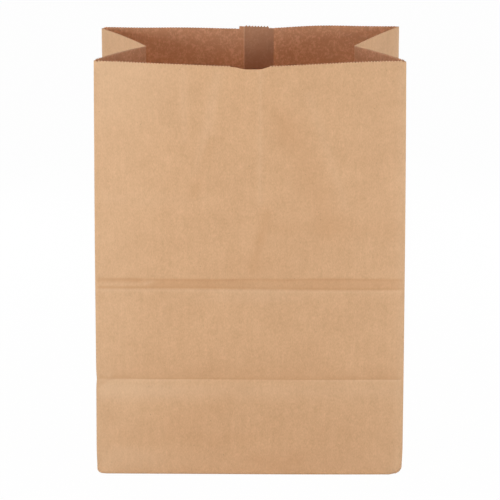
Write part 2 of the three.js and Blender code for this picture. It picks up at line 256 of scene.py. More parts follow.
# The gussets: each side is folded inward down its middle, and splits below half its depth into two slanted
# creases that run to the corners of the base. A level crease crosses the front half, where the base folded.
FOLD_FLAT = 0.5  # half the width of the centre fold's rounded nose
CORNER_STEPS = 4  # cells round a corner fold
CELLS = 35  # cells of the mesh across half a gusset, each as wide as a tooth of the mouth
CELL = HALF / CELLS
BACK_HALF = 129.2  # half the width of the back
LEVEL_DIP = 0.5  # the level crease
LEVEL_REACH = 3.0
SIDE_SWELL = 0.6  # hollows and swells of the sides
SIDE_WAVE = 60.0
SIDE_APART = 300.0  # makes those of the two sides unlike
FOLD_STIFF = (2.0, 14.0)  # paper nearer to a fold than the first stays straight, and past the second is free
half_columns = CORNER_STEPS + 1 + CELLS  # places across half a gusset with its corner fold


def plan(x, y):
    return np.stack(np.broadcast_arrays(x, y), -1)


def gusset_half(up, side, end, soft):
    """A corner fold and half a gusset in plan, up to the centre fold. End is -1 in front and 1 behind."""
    steps = np.linspace(0, 1, CORNER_STEPS + 1)
    cells = np.append(np.arange(1, CELLS), CELLS - CELLS * FOLD_FLAT / HALF)
    half = front_half(up) if end < 0 else np.full_like(up, BACK_HALF)
    middle = (front_half(up) + BACK_HALF) / 2 - gusset_inset(up)
    on_face = corner_setback(up, soft[0])
    setback = corner_setback(up, soft[1])
    folded = setback + (HALF - setback) * np.minimum(up / HALF, 1)
    folded = np.minimum(folded, HALF - FOLD_FLAT)
    corner = plan(side * half, end * wall_offset(up))
    nose = plan(side * middle, end * (HALF - folded))

    back_along = plan(-side * on_face, np.zeros_like(up))
    on_along = (nose - corner) / np.linalg.norm(nose - corner, axis=-1, keepdims=True) * setback[..., None]
    blend = steps[None, :, None]
    arc = corner + back_along * (1 - blend) ** 2 + on_along * blend**2

    along = setback + (HALF - setback) * cells[None, :] / CELLS
    slope = corner + (nose - corner) * np.minimum(along / folded, 1)[..., None]
    inner = np.clip((HALF - along) / (HALF - folded), 0, 1)
    flat = plan(side * middle * np.ones_like(along), end * (HALF - folded) * inner)
    half_side = np.where((along < folded)[..., None], slope, flat)
    return np.concatenate([arc, half_side], 1)


def gusset(up, side):
    """Points of both halves of one gusset, from its front fold to its back fold."""
    name = "right" if side > 0 else "left"
    front = gusset_half(up[:, :1], side, -1, SOFT_CORNERS["front_" + name])
    back = gusset_half(up[:, :1], side, 1, SOFT_CORNERS["back_" + name])
    x, y = np.moveaxis(np.concatenate([front, back[:, ::-1]], 1), -1, 0)
    lean = gusset_inset(up) * (1 - np.minimum(np.abs(y) / wall_offset(up), 1))
    crossing = np.where(y < 0, LEVEL_DIP * np.exp(-np.abs(up - CREASE) / LEVEL_REACH), 0)
    fold_free = ease(np.abs(y), *FOLD_STIFF) * ease(wall_offset(up) - np.abs(y), *FOLD_STIFF)
    worked = SIDE_SWELL * uneven(y + SIDE_APART * side, up, SIDE_WAVE) * ease(up, 0, FOOT_STIFF)
    return np.stack([x + side * (worked - crossing) * fold_free, y, up - dropped(up, lean)], -1)


# The back face: its stiff pasted lap stands in from the mouth, and the paper bows out beside it. The lap is
# two plies: right of it the inner ply goes on, and left of it the outer ply.
LAP_LEFT = -5.5  # free edge of the inner ply
LAP_WIDE = 25.4
LAP_RIGHT = LAP_LEFT + LAP_WIDE  # free edge of the outer ply
BACK_WAVES = ((-3.3, -93.0, 26.0), (-10.5, 6.3, 54.0), (8.5, 55.0, 37.0))  # depth, place, reach at the mouth
BACK_SWELLS = ((0.5, 70.0), (0.15, 24.0))  # depth and size of the shallow hollows and swells
TONGUE_LEFT = -9.6
TONGUE_RIGHT = 16.0
HAIR = 0.05  # the two faces of a cut edge stand this far apart
LAP_RIM = 0.7  # strip beside each cut edge of the lap that catches the light
BACK_FIXED = 40.0  # the strip either side of the middle that keeps its places at every height


def back_places():
    """Places across the back from right to left. Each cut edge of lap and tongue is met from both sides."""
    rims = [edge + side * LAP_RIM for edge in (LAP_LEFT, LAP_RIGHT) for side in (-1, 1)]
    edges = sorted([LAP_LEFT, LAP_RIGHT, TONGUE_LEFT, TONGUE_RIGHT, *rims], reverse=True)
    starts = [BACK_HALF, *[edge - HAIR for edge in edges]]
    ends = [*[edge + HAIR for edge in edges], -BACK_HALF]
    runs = [np.linspace(a, b, max(1, round((a - b) / CELL)) + 1) for a, b in zip(starts, ends)]
    return np.concatenate(runs)[1:-1]


BACK_PLACES = back_places()


def back_face(up):
    """Points of the back, from its right fold to its left."""
    soft = np.where(BACK_PLACES > 0, SOFT_CORNERS["back_right"][0], SOFT_CORNERS["back_left"][0])[None, :]
    reach = BACK_HALF - corner_setback(up, soft)
    outer = np.maximum(np.abs(BACK_PLACES) - BACK_FIXED, 0) * (reach - BACK_FIXED) / (BACK_HALF - BACK_FIXED)
    x = np.sign(BACK_PLACES) * (np.minimum(np.abs(BACK_PLACES), BACK_FIXED) + outer)
    fold_free = 1 - (x / BACK_HALF) ** SOFT_EDGE
    wave = sum(depth * bump(x, place, spread) for depth, place, spread in BACK_WAVES)
    wave = wave * fold_free * (up / HEIGHT) ** 2
    worked = sum(depth * uneven(x, up, size) for depth, size in BACK_SWELLS) * ease(up, 0, FOOT_STIFF)
    return np.stack([x, wall_offset(up) + wave + worked * fold_free, up], -1)


# The mouth: cut across the tube by a saw-toothed knife that leaves a smooth thumb notch in the front edge and
# a tongue of about the same width standing from the back edge.
TOOTH_DEEP = 1.15  # from root to tip
BACK_TOOTH_DEEP = 0.35  # the knife bit less deeply at the back, but for the tongue
MOUTH_SLANT = 0.3  # the cut stands this much higher at the back, and lower in front
CUT_BAND = 12.0  # strip of wall that follows the cut
NOTCH_DEEP = 1.9
NOTCH = (-14.6, -2.2, 8.6, 15.2)  # left end, flat bottom from and to, right end
TONGUE_HIGH = 2.1
TONGUE_SLANT = 0.75  # the tongue stands higher by this much at its left end, and lower at its right


def notch(x):
    """1 in the flat bottom of the thumb notch, 0 outside it."""
    return ease(x, NOTCH[0], NOTCH[1]) * (1 - ease(x, NOTCH[2], NOTCH[3]))


front_x = FRONT_SHARES * (front_half(np.float64(HEIGHT)) - FOLD_SETBACK)
along_tongue = 2 * (BACK_PLACES - TONGUE_LEFT) / (TONGUE_RIGHT - TONGUE_LEFT) - 1
tongue = (TONGUE_HIGH - TONGUE_SLANT * along_tongue) * (np.abs(along_tongue) < 1)
slant = np.linspace(-MOUTH_SLANT, MOUTH_SLANT, 2 * half_columns)
cut = np.concatenate([-MOUTH_SLANT - NOTCH_DEEP * notch(front_x), slant, MOUTH_SLANT + tongue, -slant])
columns = len(cut)

side_columns = np.arange(2 * half_columns)
at_fold = np.minimum(side_columns, side_columns[::-1]) <= CORNER_STEPS
tongue_end_at = (TONGUE_LEFT + LAP_LEFT) / 2
tongue_end_reach = (LAP_LEFT - TONGUE_LEFT) / 2 + LAP_RIM + HAIR
tongue_end = np.abs(BACK_PLACES - tongue_end_at) < tongue_end_reach
smooth_cut = np.concatenate([notch(front_x) > 0, at_fold, tongue_end, at_fold])

shallower = np.linspace(TOOTH_DEEP, BACK_TOOTH_DEEP, 2 * half_columns)
back_teeth = np.where(tongue > 0, TOOTH_DEEP, BACK_TOOTH_DEEP)
tooth = np.concatenate([np.full(front_x.shape, TOOTH_DEEP), shallower, back_teeth, shallower[::-1]])
top = HEIGHT - (TOOTH_DEEP + tooth) / 2 + cut  # the roots of the teeth, round the mouth


# The walls: the four faces joined into one tube that turns under the base at its foot. The handled bag stands
# a little out of square. The sheet has two skins a ply apart, or two plies apart in the pasted lap.
PAPER = 0.18  # one ply
FOOT = CELL  # radius of the fold round the foot of the walls
FOOT_ANGLES = np.arange(0, 90, 15)  # degrees round that fold, for rows of the mesh
LIP = 9.0  # turn of the walls under the base
CORNER_REACH = 6.0  # how far from a crushed corner the foot is rounder
BESIDE_CREASE = np.array([-2.2, -0.5, 0, 0.5, 2.3])  # rows of the mesh at the crease
BELOW_BAND = (3.9, 2.6)  # last row of the mesh under the band, and first at it, down from its lower edge
ABOVE_BAND = (1.7, 3.6)  # last row at the band, and first over it, up from its upper edge
MIDDLE_ROWS = 17
BAND_ROWS = 17
UPPER_ROWS = 36
CUT_SHARES = np.array([0.35, 0.7, 0.93, 1.0])  # rows in the strip that follows the cut
SKEW = 1.8  # the base stands this far out of square at its corners, against the mouth
SLACK = 1.6  # and its right end gives this much of that back
TWIST = 2.2  # the back of the mouth stands this far out of square at its corners
LEAN = 0.25  # the left side stands this much further out below the band
LEAN_END = 300.0  # and is upright again at this height
FLARE = 0.55  # it flares by this much more at its foot
FLARE_RUN = (10.0, 100.0)  # heights over which the flare dies out
PINCH = 0.45  # the left front fold is pinched in at the crease
PINCH_REACH = 5.0
PINCH_SIDE = (0.5, 1.0)  # shares of half the width over which the pinch grows
PINCH_FORWARD = (20.0, 70.0)  # and places forward of the middle

foot_rows = FOOT * (1 - np.cos(np.radians(FOOT_ANGLES)))
crease_rows = CREASE + BESIDE_CREASE
lower_rows = CELL * np.arange(1, CELLS + 1)
middle_rows = np.linspace(HALF + CELL, BAND_LOW - BELOW_BAND[0], MIDDLE_ROWS)
band_rows = np.linspace(BAND_LOW - BELOW_BAND[1], BAND_HIGH + ABOVE_BAND[0], BAND_ROWS)
upper_rows = np.linspace(BAND_HIGH + ABOVE_BAND[1], HEIGHT - CUT_BAND, UPPER_ROWS)
rows = np.sort(np.concatenate([foot_rows, crease_rows, lower_rows, middle_rows, band_rows, upper_rows]))
straight_up = np.repeat(rows[:, None], columns, 1)
cut_up = rows[-1] + CUT_SHARES[:, None] * (top - rows[-1])[None, :]
wall_up = np.concatenate([straight_up, cut_up])
MIDDLE_ROW = len(rows) - UPPER_ROWS  # the first row above the band

front_end = len(FRONT_SHARES)
right_end = front_end + 2 * half_columns
back_end = right_end + len(BACK_PLACES)
faces_round = [
    front_face(wall_up[:, :front_end]),
    gusset(wall_up[:, front_end:right_end], 1),
    back_face(wall_up[:, right_end:back_end]),
    gusset(wall_up[:, back_end:], -1)[:, ::-1],
]
square_wall = np.concatenate(faces_round, 1)


def outward(points):
    """Unit normals of a closed wall of points, rows upward and columns anticlockwise from above."""
    along = np.roll(points, -1, 1) - np.roll(points, 1, 1)
    across = np.gradient(points, axis=0)
    normal = np.cross(along, across)
    return normal / np.linalg.norm(normal, axis=-1, keepdims=True)


def round_foot(points, up):
    """Turns the bottom of the walls under in a quarter circle, larger at the crushed corners."""
    radius = np.full(columns, FOOT)
    at = points[MIDDLE_ROW]
    for name, (_, _, upwards) in SOFT_CORNERS.items():
        end, side = name.split("_")
        corner = np.array([(1 if side == "right" else -1) * WIDTH / 2, (1 if end == "back" else -1) * HALF])
        away = np.linalg.norm(at[:, :2] - corner, axis=-1)
        radius = np.maximum(radius, upwards * bump(away, 0, CORNER_REACH))
    below = np.clip(1 - up / radius[None, :], 0, 1)
    inward = radius[None, :] * (1 - np.sqrt(1 - below**2))
    sideways = outward(points) * np.array([1, 1, 0])
    sideways /= np.linalg.norm(sideways, axis=-1, keepdims=True)
    return points - sideways * inward[..., None]


def settled(points, up):
    """Moves points of the square bag to where the handled bag stands."""
    x, y, z = np.moveaxis(points, -1, 0)
    side = x / (WIDTH / 2)
    low = 1 - ease(up, DEPTH, HEIGHT)
    behind = np.clip((y + HALF) / DEPTH, 0, 1)
    lean = (LEAN * (1 - ease(up, DEPTH, LEAN_END)) + FLARE * (1 - ease(up, *FLARE_RUN))) * (1 - side) / 2
    pinch = PINCH * bump(up, CREASE, PINCH_REACH) * ease(-side, *PINCH_SIDE) * ease(-y, *PINCH_FORWARD)
    skew = SKEW * side - SLACK * np.clip(side, 0, None) ** 2
    return np.stack([x - lean + pinch, y - skew * low + TWIST * side * behind * (1 - low), z], -1)


wall = settled(round_foot(square_wall, wall_up), wall_up)
normals = outward(wall)
back_x = wall[..., 0] * (np.arange(columns) >= right_end) * (np.arange(columns) < back_end)
on_back = back_x != 0
stepped = np.where(back_x > LAP_RIGHT, PAPER * (BACK_HALF - back_x) / (BACK_HALF - LAP_RIGHT), 0)
plies = np.where((back_x > LAP_LEFT) & (back_x < LAP_RIGHT) & on_back, 2, 1)
outside = wall - normals * stepped[..., None]
inside = outside - normals * (plies * PAPER)[..., None]


def with_lip(skin):
    """Carries the foot of a skin under the base."""
    lip = skin[:1] * (1 - LIP / (WIDTH / 2), 1 - LIP / (WIDTH / 2), 1)
    return np.concatenate([lip, skin])


# The folded sheet: the skins of the walls are joined into one mesh, round the lip of the foot and over the
# cut edge of the mouth, where each tooth is a small triangle. Every face has its place in a flat pattern.
MILLIMETRE = 0.001
SHARP_FOLD = math.radians(38)  # a fold sharper than this shows as an edge
PATTERN_SIZE = 0.98  # share of the pattern's width that the tube takes up
PATTERN_LEFT = 0.01
PATTERN_FOOT = 0.015
INNER_PATTERN = (0, 0.43)  # from the outside's place in the pattern to the inside's
NARROW = CELL / 3  # a stretch of the cut that is narrower has no tooth
CUT_STEP = 0.3  # and neither has one that steps up or down by more


class FoldedSheet:
    """Gathers skins of the sheet, each a grid of points, into one mesh with a flat pattern of its paper."""

    def __init__(self):
        self.points = []
        self.faces = []
        self.pattern = []
        self.count = 0

    def add(self, points):
        """Adds a grid of points, and returns the grid of their numbers."""
        flat = points.reshape(-1, 3)
        self.points.append(flat)
        self.count += len(flat)
        return np.arange(self.count - len(flat), self.count).reshape(points.shape[:-1])

    def panel(self, index, places, inward=False, turned=None):
        """Four-sided faces over a grid. Turned columns are split along their other diagonal."""
        first = slice(0, -1)
        following = slice(1, None)
        corners = [(first, first), (first, following), (following, following), (following, first)]
        quads = np.stack([index[c] for c in corners], -1)
        flat = np.stack([places[c] for c in corners], -2)
        if turned is not None:
            quads[:, turned] = np.roll(quads[:, turned], -1, -1)
            flat[:, turned] = np.roll(flat[:, turned], -1, -2)
        if inward:
            quads = np.roll(quads[..., ::-1], 1, -1)
            flat = np.roll(flat[..., ::-1, :], 1, -2)
        self.faces += quads.reshape(-1, 4).tolist()
        self.pattern.append(flat.reshape(-1, 2))

    def face(self, corners, places):
        self.faces.append([int(c) for c in corners])
        self.pattern.append(np.array(places))

    def mesh(self, name):
        made = bpy.data.meshes.new(name)
        made.from_pydata((np.concatenate(self.points) * MILLIMETRE).tolist(), [], self.faces)
        layer = made.uv_layers.new(name="OFBake")
        layer.uv.foreach_set("vector", np.concatenate(self.pattern).astype(np.float32).ravel())
        made.shade_smooth()
        made.set_sharp_from_angle(angle=SHARP_FOLD)
        return made


def closed(grid):
    """A grid round the tube, with its first column again at its end."""
    return np.concatenate([grid, grid[:, :1]], 1)


sheet = FoldedSheet()
outer_index = sheet.add(with_lip(outside))
inner_index = sheet.add(with_lip(inside))
closed_outer = closed(outer_index)
closed_inner = closed(inner_index)
steps_round = np.linalg.norm(np.diff(wall[MIDDLE_ROW], axis=0, append=wall[MIDDLE_ROW, :1]), axis=-1)
round_tube = np.concatenate([[0], np.cumsum(steps_round)])
girth = round_tube[-1]
pattern_u = round_tube / girth * PATTERN_SIZE + PATTERN_LEFT
pattern_up = np.concatenate([wall_up[:1] - LIP, wall_up])
pattern_v = closed(pattern_up) / girth * PATTERN_SIZE + PATTERN_FOOT
outer_places = np.stack([np.broadcast_to(pattern_u, pattern_v.shape), pattern_v], -1)
inner_places = outer_places + INNER_PATTERN
back_halves = np.zeros(columns, bool)
back_halves[front_end + half_columns:right_end] = True
back_halves[back_end:back_end + half_columns] = True
sheet.panel(closed_outer, outer_places, turned=back_halves)
sheet.panel(closed_inner, inner_places, inward=True, turned=back_halves)
sheet.panel(np.stack([closed_inner[0], closed_outer[0]]), np.stack([outer_places[0], outer_places[0]]))

tip_points = []
for c in range(columns):
    ends = [closed_outer[-1, c], closed_outer[-1, c + 1], closed_inner[-1, c + 1], closed_inner[-1, c]]
    where = [outer_places[-1, c], outer_places[-1, c + 1]]
    within = [inner_places[-1, c], inner_places[-1, c + 1]]
    following = (c + 1) % columns
    narrow = np.linalg.norm(outside[-1, following] - outside[-1, c]) < NARROW
    steps = abs(top[c] - top[following]) > CUT_STEP
    if smooth_cut[c] or smooth_cut[following] or narrow or steps:
        sheet.face(ends, where + where[::-1])
        continue
    lift = np.array([0, 0, tooth[c]])
    tips = np.stack([(skin[-1, c] + skin[-1, following]) / 2 + lift for skin in (outside, inside)])
    tip, under = sheet.add(tips)
    tip_points.append(tip)
    peak = (where[0] + where[1]) / 2 + (0, tooth[c] / girth)
    peak_within = (within[0] + within[1]) / 2 + (0, tooth[c] / girth)
    sheet.face([ends[0], ends[1], tip], [where[0], where[1], peak])
    sheet.face([ends[2], ends[3], under], [within[1], within[0], peak_within])
    sheet.face([ends[0], tip, under, ends[3]], [where[0], peak, peak, where[0]])
    sheet.face([tip, ends[1], ends[2], under], [peak, where[1], where[1], peak])


# The block bottom: the end of the tube folded flat and pasted. Two end flaps lie inside, then the ply of
# folded ears, then the back flap, and the front flap outermost. Every free edge has the knife's teeth.
FLAP_OVERLAP = 38.0
FLAP = (DEPTH + FLAP_OVERLAP) / 2  # every bottom flap from its fold to its free edge
PLY_GAP = 0.03
BASE_CLEAR = 0.02  # the lowest ply stands this far off the ground at the rim
BASE_RISE = 1.0  # the pasted base stands hollow by this much in its middle
BASE_X = WIDTH / 2 - FOOT
BASE_Y = HALF - FOOT
SOFT_INSET = 8.0  # the plies stop short of the crushed corners by this much
END_INSET = 3.0  # and the folds of the end flaps stop short of the walls by this much
PLY_CELLS = 8
EAR_CELLS = 4 * PLY_CELLS
FRONT_PLY, BACK_PLY, EAR_PLY, END_PLY = range(4)  # levels of the plies, counted from the ground
PLY_PATTERN = np.array([0.09, 0.1])  # size of a ply in the pattern
PLY_PITCH = np.array([0.1, 0])  # from one ply to the next
OVER_PATTERN = np.array([0.005, 0.89])  # places of the first ply's upper and lower side
UNDER_PATTERN = np.array([0.505, 0.89])


def base_ply(corners, ply, toothed, cells, order):
    """A flat ply between the two ends of its fold and the two ends of its free edge, at one of the levels."""
    across = np.linspace(0, 1, cells[0] + 1)[None, :, None]
    along = np.linspace(0, 1, cells[1] + 1)[:, None, None]
    fold_start, fold_end, free_end, free_start = [np.array(corner, float) for corner in corners]
    at_fold = fold_start * (1 - across) + fold_end * across
    at_edge = free_start * (1 - across) + free_end * across
    flat = at_fold * (1 - along) + at_edge * along
    if toothed:
        out = (free_end + free_start) - (fold_start + fold_end)
        flat[-1, 1:-1:2] += out / np.linalg.norm(out) * TOOTH_DEEP
    rise = BASE_RISE * (1 - (flat[..., 0] / BASE_X) ** 2) * (1 - (flat[..., 1] / BASE_Y) ** 2)
    low = BASE_CLEAR + ply * (PAPER + PLY_GAP) + rise
    under = settled(np.concatenate([flat, low[..., None]], -1), np.zeros(low.shape))
    over = under + (0, 0, PAPER)
    under_index = sheet.add(under)
    over_index = sheet.add(over)
    spread = np.stack(np.broadcast_arrays(across[..., 0], along[..., 0]), -1) * PLY_PATTERN
    over_places = spread + (OVER_PATTERN + PLY_PITCH * order)
    under_places = spread + (UNDER_PATTERN + PLY_PITCH * order)
    clockwise = np.cross(fold_end - fold_start, free_start - fold_start) < 0
    sheet.panel(over_index, over_places, inward=clockwise)
    sheet.panel(under_index, under_places, inward=not clockwise)
    forth = slice(None)
    back = slice(None, None, -1)
    for side in ((0, forth), (forth, -1), (-1, back), (back, 0)):
        edge = np.stack([under_index[side], over_index[side]])
        sheet.panel(edge, np.stack([under_places[side], under_places[side]]), inward=clockwise)


flap = FLAP - FOOT
reach_x = BASE_X - SOFT_INSET
reach_y = BASE_Y - SOFT_INSET / 2
teeth_across = 2 * round(2 * (BASE_X - flap) / CELL)
teeth_end = 2 * round(2 * reach_y / CELL)
for ply, end in ((FRONT_PLY, -1), (BACK_PLY, 1)):
    fold = [(reach_x * end, reach_y * end), (-reach_x * end, reach_y * end)]
    free_x = (BASE_X - flap) * end
    free_y = (BASE_Y - flap) * end
    base_ply([*fold, (-free_x, free_y), (free_x, free_y)], ply, True, (teeth_across, PLY_CELLS), ply)
ears = [(-reach_x, -reach_y), (reach_x, -reach_y), (reach_x, reach_y), (-reach_x, reach_y)]
base_ply(ears, EAR_PLY, False, (EAR_CELLS, PLY_CELLS), EAR_PLY)
for order, side in ((END_PLY, 1), (END_PLY + 1, -1)):
    fold_x = side * (BASE_X - END_INSET)
    free_x = side * (WIDTH / 2 - FLAP)
    end_y = side * (reach_y - SOFT_INSET / 2)
    corners = [(fold_x, -end_y), (fold_x, end_y), (free_x, end_y), (free_x, -end_y)]
    base_ply(corners, END_PLY, True, (teeth_end, PLY_CELLS), order)

bag = bpy.data.objects.new("folded_paper_bag", sheet.mesh("folded_paper_bag"))
bpy.context.scene.collection.objects.link(bag)


# Worn paper and painted highlights: the fibres of the folds and the edges have been rubbed up to a paler nap,
# strongest along the folds of the tube. The front also has painted highlights and sheen: towards its folds,
# most on its left, in level strips below the crease, at the foot and at the top left, under the band and on
# ridges left by hands.
LEFT_PART = (20.0, 90.0)  # places left of the middle over which the left part of the front begins
LEFT_SHEEN = 0.35  # painted sheen, paler towards the front's two folds
RIGHT_SHEEN = 0.15
SHEEN_REACH = 45.0
CORNER_WEAR = ((0.15, 2.0), (0.35, 6.5))  # strength and reach of the wear along a corner fold
CENTRE_WEAR = 0.8  # the same along a centre fold
CENTRE_REACH = 1.4
CENTRE_LOW = 0.3  # share of it left below the split
CENTRE_SPLIT = (HALF - 4, HALF + 2)
SLANT_WEAR = 0.65  # and along the slanted folds below the split
SLANT_REACH = 1.5
SLANT_START = (5.0, 20.0)  # heights over which it begins
SLANT_END = HALF + 1
# Painted highlights in level strips of the front: strength, what the left adds, where that begins, height and
# reach
HIGHLIT_STRIPS = (
    (0.3, 0.45, LEFT_PART, 75.5, 9.0),
    (0.15, 0.2, (-20.0, 110.0), 10.0, 14.0),
    (0.0, 0.35, LEFT_PART, 345.0, 45.0),
)
UNDER_BAND = 0.4  # painted highlight in the middle of the strip under the band
UNDER_BAND_AT = (5.0, -6.0)  # across, and up from the band's lower edge
UNDER_BAND_REACH = (45.0, 5.0)
HANDLING_HIGHLIGHT = 0.35  # painted highlight on a ridge left by hands
RIM_HIGHLIGHT = 0.5  # painted highlights on rims under the crease and under the band
CREASE_RIM = (-1.2, 1.0)  # how far up from its line a rim stands, and its reach
BAND_RIM = (-1.5, 1.2)
BAND_RIM_SHARE = 0.8
RIM_LOST = 0.85  # share of the crease's rim that is missing in the middle of the front
RIM_LOST_AT = 5.0
RIM_LOST_REACH = 55.0

at_round = round_tube[:-1]
on_front = np.arange(columns) < front_end
on_sides = ~on_front & ~on_back[-1]
wall_x = wall[..., 0]
band_low, band_high = band_edges(wall_x)
hand_light_and_shade = handling(wall_x, wall_up)[0]


def worn_and_highlit_places():
    """How much paler the paper is: worn along the corner, centre and slanted folds, with painted highlights
    and sheen on the front.
    """
    middle = CORNER_STEPS // 2
    corners = [front_end + middle, right_end - 1 - middle, back_end + middle, columns - 1 - middle]
    centres = [front_end + half_columns, back_end + half_columns]
    worn = sum(sum(wear * bump(at_round, at_round[c], reach) for wear, reach in CORNER_WEAR) for c in corners)
    centre_fold = CENTRE_WEAR * sum(bump(at_round, at_round[c], CENTRE_REACH) for c in centres)
    unsplit = CENTRE_LOW + (1 - CENTRE_LOW) * ease(wall_up, *CENTRE_SPLIT)
    from_corner = np.min([np.abs(at_round - at_round[c]) for c in corners], 0)
    slant_fold = SLANT_WEAR * on_sides * bump(from_corner[None, :], wall_up, SLANT_REACH)
    slant_fold = slant_fold * ease(wall_up, *SLANT_START) * (wall_up < SLANT_END)
    left_sheen = LEFT_SHEEN * bump(wall_x, -WIDTH / 2, SHEEN_REACH)
    right_sheen = RIGHT_SHEEN * bump(wall_x, WIDTH / 2, SHEEN_REACH)
    # painted highlights in level strips of the front
    handled = sum(
        (strength + left * ease(-wall_x, *begins)) * bump(wall_up, high, reach)
        for strength, left, begins, high, reach in HIGHLIT_STRIPS
    )
    under_band_highlight = UNDER_BAND * bump(wall_up, band_low + UNDER_BAND_AT[1], UNDER_BAND_REACH[1])
    handled = handled + under_band_highlight * bump(wall_x, UNDER_BAND_AT[0], UNDER_BAND_REACH[0])
    # painted highlights just under the crease and the band's lower edge
    crease_rim = bump(wall_up, CREASE + CREASE_RIM[0], CREASE_RIM[1])
    crease_rim = crease_rim * (1 - RIM_LOST * bump(wall_x, RIM_LOST_AT, RIM_LOST_REACH))
    band_rim = BAND_RIM_SHARE * bump(wall_up, band_low + BAND_RIM[0], BAND_RIM[1])
    grid = worn[None, :] + centre_fold[None, :] * unsplit + slant_fold
    grid += on_front * (left_sheen + right_sheen)
    grid += on_front * (handled + HANDLING_HIGHLIGHT * np.maximum(hand_light_and_shade, 0))
    grid += RIM_HIGHLIGHT * on_front * (crease_rim + band_rim)
    return np.clip(grid, 0, 1)


# Pressed paper and painted shade: where the folded base was pressed hard against the front, the paper is flat
# and darker, and painted shade darkens it more along the crease, under the band's ledges and in hollows left
# by hands.
# The marks are a line and a shade above the crease, the slanted band, and a line along each of its edges.
CREASE_LINE = 0.55  # dark line along the crease, pressed and painted shade, and what the left adds to it
CREASE_LINE_LEFT = 0.3
CREASE_LINE_HIGH = 1.6
CREASE_SHADE = 0.45  # softer shade above that line, and what the two ends add to it
CREASE_SHADE_ENDS = 0.2
CREASE_SHADE_WIDE = 110.0
CREASE_SHADE_HIGH = 8.0
CREASE_START = CREASE - 0.1
BAND_SHADE = 0.75  # the slanted band
BAND_SHADES = ((0.2, -45.0, 40.0), (-0.35, 13.0, 24.0))  # and what is added to it: strength, place, reach
BAND_SHADE_EDGE = 0.8
UPPER_LINE = 0.7  # dark lines along the band's two edges, painted shade of its ledges
LOWER_LINE = 1.6
UPPER_LINE_AT = -0.4
LOWER_LINE_AT = 0.8
LINE_REACH = 1.2
PRESSED_MOST = 1.3
HANDLING_SHADE = 0.35  # painted shade in a hollow left by hands


def pressed_and_shade_places():
    """How much darker the front is, partly pressed and partly painted shade: just above its crease, across
    the band, at the band's ledges, and in hollows left by hands.
    """
    above = np.maximum(wall_up - CREASE, 0)
    line = (CREASE_LINE + CREASE_LINE_LEFT * ease(-wall_x, *LEFT_PART)) * np.exp(-above / CREASE_LINE_HIGH)
    shade = CREASE_SHADE + CREASE_SHADE_ENDS * (wall_x / CREASE_SHADE_WIDE) ** 2
    crease = (wall_up > CREASE_START) * (line + shade * np.exp(-above / CREASE_SHADE_HIGH)) * creased(wall_x)
    slanted = band_slants(wall_x)
    facet = ease(wall_up, band_low, band_low + BAND_SHADE_EDGE)
    facet = facet * (1 - ease(wall_up, band_high - BAND_SHADE_EDGE, band_high)) * slanted
    facet = facet * sum((more * bump(wall_x, place, reach) for more, place, reach in BAND_SHADES), BAND_SHADE)
    upper = UPPER_LINE * bump(wall_up, band_high + UPPER_LINE_AT, LINE_REACH)
    lower = (LOWER_LINE - slanted) * bump(wall_up, band_low + LOWER_LINE_AT, LINE_REACH)
    hollow_shade = HANDLING_SHADE * np.maximum(-hand_light_and_shade, 0)
    return np.clip(on_front * (crease + facet + upper + lower + hollow_shade), 0, PRESSED_MOST)


# The two sides of the paper and its cut edges: the lap is doubled, its free edges and the teeth of the mouth
# are freshly cut and pale, the lap's edges with a painted highlight too, and the inside is painted darker and
# warmer as the shade within the bag. With the wear and the painted light and shade, each is stored as a
# number for every point of the bag, and the paper's finish reads it.
BESIDE_LAP = (0.0, 0.8, 3.0, 4.5)  # thinner strip right of the lap: where it begins, is full, fades, ends
BESIDE_LAP_THIN = 0.35
INSIDE_WEAR = 0.7  # share of the outside's wear that shows inside
LAP_RIM_INSIDE = 2.0  # pale cut edges, at the lap also a painted highlight: the lap's inner and outer ply, the sides' mouth, the teeth
LAP_RIM_OUTSIDE = 1.0
SIDE_RIM = 1.2
TOOTH_RIM = 2.3
LAP_SHADE = 1.3  # painted shadow beside the outer ply's edge
BASE_INNER = 0.5  # the base plies take half of the inside's painted shade


def mark(name, outer, within, tips, base):
    """Stores one number for every point of the bag: by skin, for the tooth tips, and for the base plies."""
    values = np.full(sheet.count, base)
    values[outer_index] = np.concatenate([outer[:1], outer])
    values[inner_index] = np.concatenate([within[:1], within])
    values[tip_points] = tips
    layer = bag.data.attributes.new(name, "FLOAT", "POINT")
    layer.data.foreach_set("value", values.astype(np.float32))


worn_and_highlit = worn_and_highlit_places()
pressed_and_shade = pressed_and_shade_places()
nowhere = np.zeros(wall_up.shape)
everywhere = np.ones(wall_up.shape)
inner_rim = (np.abs(back_x - LAP_LEFT) < LAP_RIM / 2) * on_back
outer_rim = (np.abs(back_x - LAP_RIGHT + LAP_RIM / 2) < LAP_RIM / 2 + HAIR) * on_back
outer_shade = (np.abs(back_x - LAP_RIGHT - LAP_RIM / 2) < LAP_RIM / 2 + 2 * HAIR) * on_back
comes, full, goes, gone = [LAP_RIGHT + place for place in BESIDE_LAP]
beside_lap = ease(back_x, comes, full) * (1 - ease(back_x, goes, gone))
doubled = np.where(plies > 1, 1.0, -BESIDE_LAP_THIN * beside_lap)
within_worn_and_lit = INSIDE_WEAR * worn_and_highlit * ~on_front + LAP_RIM_INSIDE * inner_rim
within_worn_and_lit[-1] += SIDE_RIM * on_sides
mark("worn_and_highlit", worn_and_highlit + LAP_RIM_OUTSIDE * outer_rim, within_worn_and_lit, TOOTH_RIM, 0.0)
mark("pressed_and_shade", pressed_and_shade + LAP_SHADE * outer_shade, nowhere, 0.0, 0.0)
mark("doubled", doubled, doubled, 0.0, 1.0)
mark("inner", nowhere, everywhere, 0.0, BASE_INNER)


